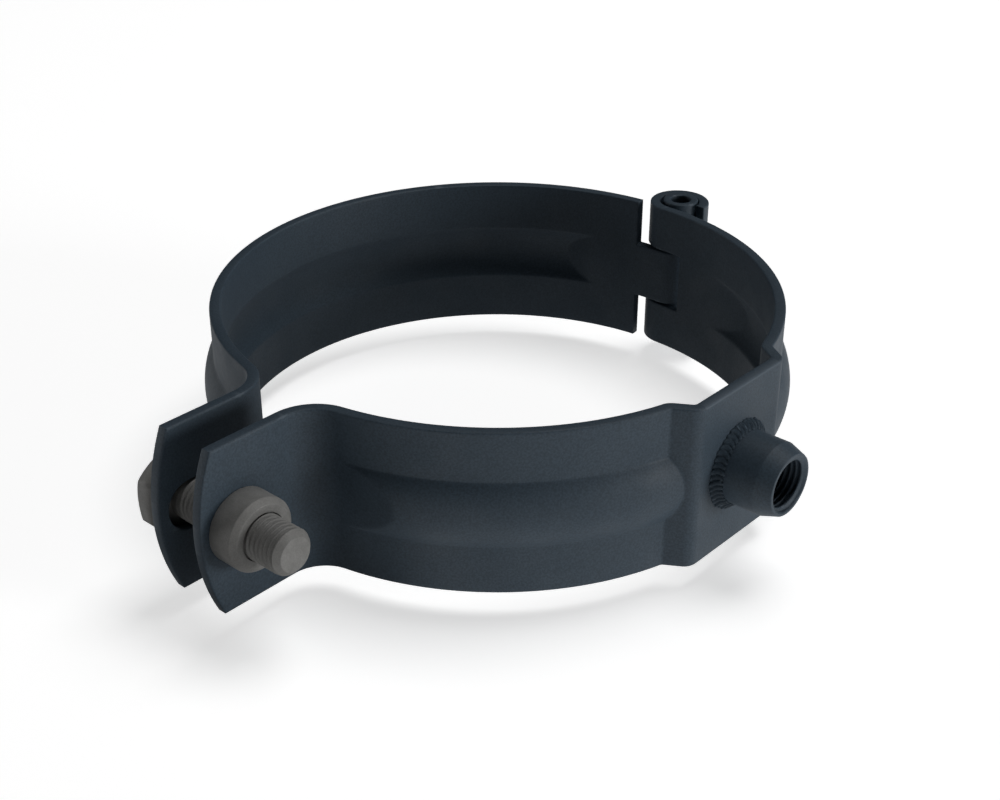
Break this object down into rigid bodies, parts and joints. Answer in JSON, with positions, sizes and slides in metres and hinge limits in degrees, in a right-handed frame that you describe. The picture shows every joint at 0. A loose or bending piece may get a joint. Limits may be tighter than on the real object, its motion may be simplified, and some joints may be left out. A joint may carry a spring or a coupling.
{
  "type": "hinged pipe clamp",
  "caption": "Hinged steel pipe clamp of ribbed flat strip, with a rolled hinge, a bolt through two ears and a welded boss with an M10 thread.",
  "frame": {"origin": "on the pipe's axis, at half the strip's width", "axes": "+Z along the pipe, +X out along the threaded boss, +Y from the pipe to the hinge"},
  "size_m": [0.1172, 0.1358, 0.0303],
  "materials": {
    "painted_strip": "matt anthracite coat",
    "zinc": "dull zinc plate"
  },
  "bodies": {
    "fixed_side": {"boss_half": "painted_strip", "threaded_boss": "painted_strip", "weld_bead": "painted_strip", "press_nut": "zinc", "hinge_pin": "painted_strip"},
    "swinging_side": {"tongue_half": "painted_strip"},
    "bolt": {"hex_bolt": "zinc"}
  },
  "joints": [
    {"name": "clamp_hinge", "type": "hinge", "parent": "fixed_side", "child": "swinging_side", "pos_m": [0, 0.0554, 0], "axis": [0, 0, -1], "range_deg": [0, 5.7]},
    {"name": "bolt_draw", "type": "slide", "parent": "fixed_side", "child": "bolt", "axis": [-1, 0, 0], "range_m": [0, 0.013]}
  ],
  "couplings": [
    {"joint": "bolt_draw", "follows": "clamp_hinge", "m_per_rad": 0.13}
  ]
}
